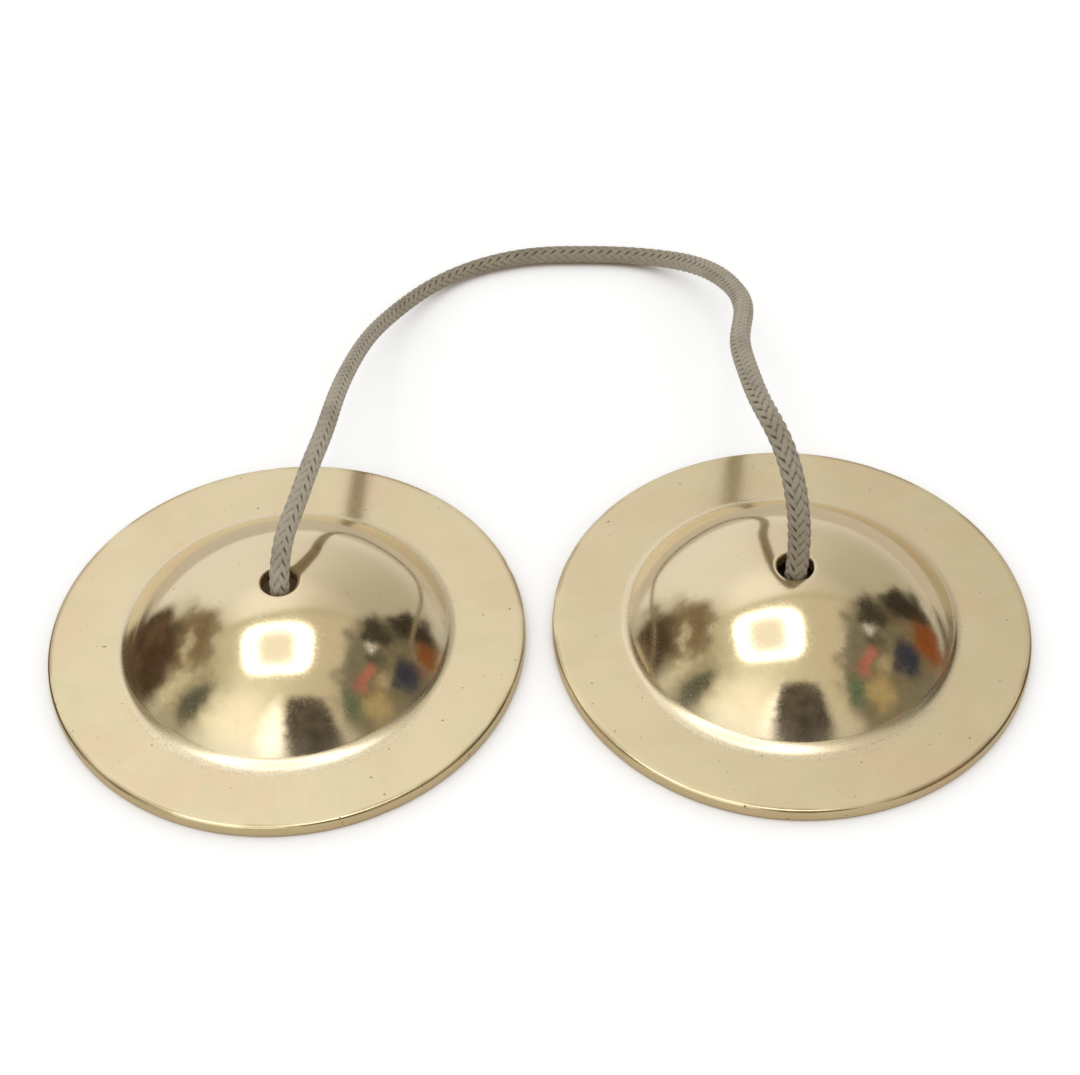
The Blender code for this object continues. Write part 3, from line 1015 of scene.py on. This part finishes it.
@dataclass
class Studio:
    """A pale table, a light room with a few dark places, one big soft lamp and the camera."""

    camera_spot: tuple[float, float, float] = (0.99 * MM, -238.35 * MM, 277.04 * MM)
    camera_elevation: float = 46.71
    camera_azimuth: float = -0.08
    camera_roll: float = -1.77
    lens: float = 72.13
    sensor: float = 36.0
    floor_half: float = 3.0
    floor_colour: float = 0.88
    floor_glow: float = 0.48
    mirrored_glow: float = 0.05
    mirrored_floor: Colour = (0.80, 0.74, 0.63)
    mirrored_aside: Colour = (0.13, 0.085, 0.05)
    shade_reach: float = 0.03
    shade_colour: Colour = (0.30, 0.20, 0.11)
    shade_glow: float = 0.15
    lamp_centre: tuple[float, float, float] = (-0.163, -0.022, 1.0)
    lamp_half: tuple[float, float] = (0.325, 0.265)
    lamp_inner: tuple[float, float] = (0.235, 0.235)
    lamp_colour: Colour = (3.7, 3.65, 3.5)
    lamp_middle: Colour = (0.80, 0.77, 0.70)
    lamp_glare: float = 1.35
    fill: float = 0.6
    wall: Colour = (0.93, 0.915, 0.87)
    wall_dim: Colour = (0.55, 0.52, 0.44)
    ceiling: Colour = (0.77, 0.755, 0.59)
    ceiling_dim: Colour = (0.64, 0.585, 0.46)
    beam: Colour = (0.47, 0.43, 0.30)
    ceiling_slope: float = 0.42
    sweep: Colour = (0.86, 0.85, 0.82)
    warp: float = 18.0
    glows: tuple[Patch, ...] = (
        Patch(-38, 42, 27, 19, (1.18, 1.14, 1.0), 0.2, 0.7),
        Patch(-11, 41, 9, 13, (1.85, 1.78, 1.7), 0.25, 0.9),
        Patch(-94, 50, 33, 13, (0.62, 0.595, 0.45), 0.2, 0.6),
    )
    patches: tuple[Patch, ...] = (
        Patch(-96, 22, 34, 28, (0.43, 0.395, 0.28), 0.15, 0.2, 4.0),
        Patch(-104, 46, 17, 4, (0.33, 0.30, 0.20), 0.4, 0.5),
        Patch(-112, 36, 18, 13, (0.22, 0.165, 0.10), 0.3, 0.35),
        Patch(-110, 14, 16, 14, (0.08, 0.055, 0.036), 0.25, 0.3),
        Patch(-105, 34, 12, 2.2, (0.56, 0.51, 0.38), 0.4, 0.5),
        Patch(-88, 24, 4, 15, (0.68, 0.64, 0.50), 0.3, 0.6),
        Patch(-73, 31, 8, 12, (0.12, 0.12, 0.095), 0.3, 0.3),
        Patch(84, 30, 42, 29, (0.205, 0.18, 0.12), 0.15, 0.15, 4.0),
        Patch(90, 56, 27, 5, (0.20, 0.195, 0.145), 0.4, 0.5),
        Patch(52, 43, 8, 9, (0.13, 0.18, 0.125), 0.5, 0.5),
        Patch(76, 48, 10, 4, (0.50, 0.17, 0.15), 0.4, 0.5),
        Patch(94, 46, 7, 6, (0.10, 0.095, 0.07), 0.5, 0.6),
        Patch(103, 48, 5, 3, (0.95, 0.95, 0.92), 0.5, 0.6),
        Patch(64, 33, 9, 8, (0.46, 0.36, 0.19), 0.5, 0.6),
        Patch(82, 37, 6, 4, (0.42, 0.36, 0.24), 0.5, 0.6),
        Patch(91, 25, 9, 9, (0.04, 0.045, 0.075), 0.4, 0.5),
        Patch(113, 44, 11, 8, (0.05, 0.045, 0.032), 0.4, 0.4),
        Patch(119, 22, 8, 15, (0.04, 0.033, 0.024), 0.4, 0.4),
        Patch(106, 12, 9, 10, (0.24, 0.075, 0.022), 0.4, 0.5),
    )
    panels: tuple[Panel, ...] = (
        Panel("front_panel", (0.086, -0.41, 0.44), 180.0, 0.155, 0.30, (0.10, 0.085, 0.07)),
        Panel("side_panel", (-0.165, 0.04, 0.026), 90.0, 0.05, 0.026, (0.10, 0.065, 0.04)),
    )

    def build(self) -> None:
        """Sets the camera, the floor, the room's light and the lamp."""
        self.camera()
        self.floor()
        self.surroundings()
        self.lamp()
        for panel in self.panels:
            self.panel(panel)

    def camera(self) -> None:
        """Puts the camera where the photograph was taken from."""
        rise, turn = radians(self.camera_elevation), radians(self.camera_azimuth)
        roll = radians(self.camera_roll)
        back = Vector((-sin(turn) * cos(rise), -cos(turn) * cos(rise), sin(rise)))
        right = (-back).cross(Vector((0, 0, 1))).normalized()
        up = right.cross(-back)
        tilted_right = cos(roll) * right + sin(roll) * up
        tilted_up = -sin(roll) * right + cos(roll) * up
        data = bpy.data.cameras.new("camera")
        data.sensor_fit = "HORIZONTAL"
        data.sensor_width = self.sensor
        data.lens = self.lens
        data.clip_start = 0.01
        camera = bpy.data.objects.new("camera", data)
        axes = Matrix((tilted_right, tilted_up, back)).transposed().to_4x4()
        camera.matrix_world = Matrix.Translation(self.camera_spot) @ axes
        bpy.context.collection.objects.link(camera)
        bpy.context.scene.camera = camera

    @staticmethod
    def sheet(name: str, corners: Sequence[Sequence[float]], material: bpy.types.Material) -> bpy.types.Object:
        """A flat four-cornered piece of the stage."""
        mesh = bpy.data.meshes.new(name)
        mesh.from_pydata([tuple(corner) for corner in corners], [], [(0, 1, 2, 3)])
        mesh.materials.append(material)
        piece = bpy.data.objects.new(name, mesh)
        bpy.context.collection.objects.link(piece)
        return piece

    @staticmethod
    def stage_graph(name: str) -> tuple[bpy.types.Material, Graph, bpy.types.Node]:
        """Starts a material without a Principled shader; also returns its output node."""
        material = bpy.data.materials.new(name)
        material.use_nodes = True
        material.node_tree.nodes.clear()
        graph = Graph(material.node_tree)
        return material, graph, graph.node("ShaderNodeOutputMaterial")

    def floor(self) -> None:
        """A white table that still takes the object's shadow, with painted shade from ambient occlusion that makes it
        dark inside the bowls.
        """
        material, graph, output = self.stage_graph("table_white")
        path = graph.node("ShaderNodeLightPath")
        mirrored = Signal(graph, path.outputs["Is Glossy Ray"]) + Signal(graph, path.outputs["Is Transmission Ray"])
        glow = Signal(graph, path.outputs["Is Camera Ray"]) * self.floor_glow + mirrored * self.mirrored_glow
        # Painted shade: ambient occlusion turns the table towards a dark brown and dims its glow beside the cymbals
        # and the cord and inside the bowls, where a faint warm painted glow stays
        settings = {"samples": 8}
        open_sky = graph.signal("ShaderNodeAmbientOcclusion", settings, {"Distance": self.shade_reach}, output="AO")
        x, y, _ = graph.split(graph.signal("ShaderNodeTexCoord", None, None, output="Object"))
        beyond = graph.math("ABSOLUTE", x) - 0.088
        aside = beyond.step(0.0, 0.014) * (y - beyond * 0.75 + x.step(0.0, 0.01) * 0.03).step(0.045, 0.015)
        in_brass = graph.blend(aside, self.mirrored_floor, self.mirrored_aside)
        plain = graph.blend(mirrored, (self.floor_colour,) * 3, in_brass)
        white = graph.blend(open_sky.step(0.1, 0.6), self.shade_colour, plain)
        matt = graph.node("ShaderNodeBsdfDiffuse", None, {"Color": white})
        light = graph.node("ShaderNodeEmission", None, {"Color": white, "Strength": glow * open_sky + (1 - open_sky) * self.shade_glow})
        both = graph.node("ShaderNodeAddShader", None, {0: matt.outputs[0], 1: light.outputs[0]})
        graph.feed(output.inputs["Surface"], both.outputs[0])
        half = self.floor_half
        self.sheet("table", [(-half, -half, 0), (half, -half, 0), (half, half, 0), (-half, half, 0)], material)

    def surroundings(self) -> None:
        """The room: white to the camera, an even fill on matt things, and detail in the brass."""
        world = bpy.data.worlds.new("studio")
        world.use_nodes = True
        bpy.context.scene.world = world
        graph = Graph(world.node_tree)
        world.node_tree.nodes.clear()
        way = graph.signal("ShaderNodeTexCoord", None, None, output="Generated")
        x, y, z = graph.split(way)
        azimuth = graph.math("ARCTAN2", x, 0.0 - y) * (180 / pi)
        elevation = graph.math("ARCSINE", z) * (180 / pi)
        rough = graph.noise(way, 9.0, 4.0, 0.6) - 0.5
        warp_wide = azimuth + (graph.noise(graph.shifted(way, (3.0, 0.0, 0.0)), 7.0, 3.0, 0.6) - 0.5) * self.warp
        warp_high = elevation + (graph.noise(graph.shifted(way, (0.0, 5.0, 0.0)), 7.0, 3.0, 0.6) - 0.5) * self.warp

        # The wall behind the table dims to the right and lightens upwards, to a straight upper edge
        east = x / graph.math("SQRT", x * x + y * y + 0.0001)
        dimmed = east.step(-0.35, 0.75)
        wall = graph.scaled(graph.blend(dimmed, self.wall, self.wall_dim), 0.94 + elevation.step(42.0, 56.0) * 0.18)
        wall = graph.blend(elevation.step(16.0, -2.0) * (1 - dimmed * 0.6), wall, self.sweep)
        ceiling = graph.blend(dimmed, self.ceiling, self.ceiling_dim)
        slope = y / graph.math("MAXIMUM", z, 0.05) - east * 0.07
        on_wall = slope.step(self.ceiling_slope - 0.05, self.ceiling_slope + 0.02)
        seen = graph.blend(on_wall, ceiling, wall)
        edge = graph.math("ABSOLUTE", slope - self.ceiling_slope + 0.04).step(0.09, 0.0)
        seen = graph.blend(edge * 0.45, seen, self.beam)
        busy = 0.0
        for patch in self.glows + self.patches:
            wide = graph.math("ABSOLUTE", (warp_wide - patch.azimuth) / patch.half_width)
            high = graph.math("ABSOLUTE", (warp_high - patch.elevation) / patch.half_height)
            reach = (wide**patch.boxy + high**patch.boxy) ** (1 / patch.boxy) + rough * (2 * patch.ragged)
            share = reach.step(1.0 + patch.soft, 1.0 - patch.soft)
            seen = graph.blend(share, seen, patch.colour)
            if patch in self.patches:
                busy = graph.math("MAXIMUM", busy, share)
        speckled = graph.noise(way, 26.0, 5.0, 0.75) - 0.5
        seen = graph.scaled(seen, 1 + speckled * ((1 - on_wall) * 0.5 + busy * 2.2))
        path = graph.node("ShaderNodeLightPath")
        lit = graph.blend(Signal(graph, path.outputs["Is Glossy Ray"]), (self.fill,) * 3, seen)
        lit = graph.blend(Signal(graph, path.outputs["Is Camera Ray"]), lit, (1.0, 1.0, 1.0))
        background = graph.node("ShaderNodeBackground", None, {"Color": lit, "Strength": 1.0})
        output = graph.node("ShaderNodeOutputWorld")
        graph.feed(output.inputs["Surface"], background.outputs[0])

    @staticmethod
    def rounded(graph: Graph, wide: Signal, high: Signal) -> Signal:
        """How far out a place is in a rounded rectangle, 1 at its edge, from its shares of the half sides."""
        return (wide**4.0 + high**4.0) ** 0.25

    def lamp(self) -> None:
        """A soft lamp overhead with rounded corners, dimmer in its middle."""
        material, graph, output = self.stage_graph("soft_lamp")
        place = graph.signal("ShaderNodeTexCoord", None, None, output="Object")
        x, y, _ = graph.split(place)
        wide = graph.math("ABSOLUTE", x - self.lamp_centre[0])
        deep = graph.math("ABSOLUTE", y - self.lamp_centre[1])
        inside = self.rounded(graph, wide / self.lamp_inner[0], deep / self.lamp_inner[1]).step(1.4, 0.5)
        within = self.rounded(graph, wide / self.lamp_half[0], deep / self.lamp_half[1]).step(1.14, 0.80)
        colour = graph.blend(inside, self.lamp_colour, self.lamp_middle)
        path = graph.node("ShaderNodeLightPath")
        glare = 1 + Signal(graph, path.outputs["Is Glossy Ray"]) * (self.lamp_glare - 1)
        glow = graph.node("ShaderNodeEmission", None, {"Color": colour, "Strength": glare})
        clear = graph.node("ShaderNodeBsdfTransparent")
        mixed = graph.node("ShaderNodeMixShader", None, {0: within, 1: clear.outputs[0], 2: glow.outputs[0]})
        graph.feed(output.inputs["Surface"], mixed.outputs[0])
        cx, cy, cz = self.lamp_centre
        half_x, half_y = self.lamp_half[0] * 1.25, self.lamp_half[1] * 1.25
        corners = [(cx - half_x, cy - half_y, cz), (cx + half_x, cy - half_y, cz)]
        corners += [(cx + half_x, cy + half_y, cz), (cx - half_x, cy + half_y, cz)]
        self.sheet("soft_lamp", corners, material).visible_camera = False

    def panel(self, panel: Panel) -> None:
        """Stands one panel up; only the brass sees it."""
        material, graph, output = self.stage_graph(panel.name)
        turn = radians(panel.facing)
        across = Vector((cos(turn), sin(turn), 0.0))
        centre = Vector(panel.centre)
        place = graph.signal("ShaderNodeTexCoord", None, None, output="Object")
        x, y, z = graph.split(place)
        side = (x - centre.x) * across.x + (y - centre.y) * across.y
        wide = graph.math("ABSOLUTE", side / panel.half_width)
        high = graph.math("ABSOLUTE", (z - centre.z) / panel.half_height)
        rough = (graph.noise(place, 3.0 / panel.half_width, 4.0, 0.6) - 0.5) * (2 * panel.ragged)
        mask = (self.rounded(graph, wide, high) + rough).step(1.15, 0.8)
        mottled = graph.noise(place, 2.0 / panel.half_width, 2.0) + graph.noise(place, 12.0 / panel.half_width, 4.0, 0.7)
        mottled = 1 + (mottled - 1.0) * 2.2
        glow = graph.node("ShaderNodeEmission", None, {"Color": graph.scaled(panel.colour, mottled), "Strength": 1.0})
        clear = graph.node("ShaderNodeBsdfTransparent")
        mixed = graph.node("ShaderNodeMixShader", None, {0: mask, 1: clear.outputs[0], 2: glow.outputs[0]})
        graph.feed(output.inputs["Surface"], mixed.outputs[0])
        wide_step = across * panel.half_width * 1.4
        high_step = Vector((0.0, 0.0, panel.half_height * 1.4))
        signs = ((-1, -1), (1, -1), (1, 1), (-1, 1))
        corners = [centre + wide_step * a + high_step * b for a, b in signs]
        piece = self.sheet(panel.name, corners, material)
        piece.visible_camera = False
        piece.visible_diffuse = False
        piece.visible_transmission = False
        piece.visible_shadow = False


def main() -> None:
    """Builds the stage, the cord and the two cymbals around the loaded frame."""
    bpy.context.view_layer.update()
    scene = bpy.context.scene
    scene.view_settings.view_transform = "Standard"
    Studio().build()

    route = CordRoute()
    braid = BraidShape()
    Cord(route, braid, CordFinish()).build(braid.tree())

    turning = Cymbal.turning_tree()
    for side in Side:
        Cymbal(side, side.value * route.hole_x, CymbalShape(), BrassFinish()).build(turning)


if __name__ == "__main__":
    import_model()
    main()
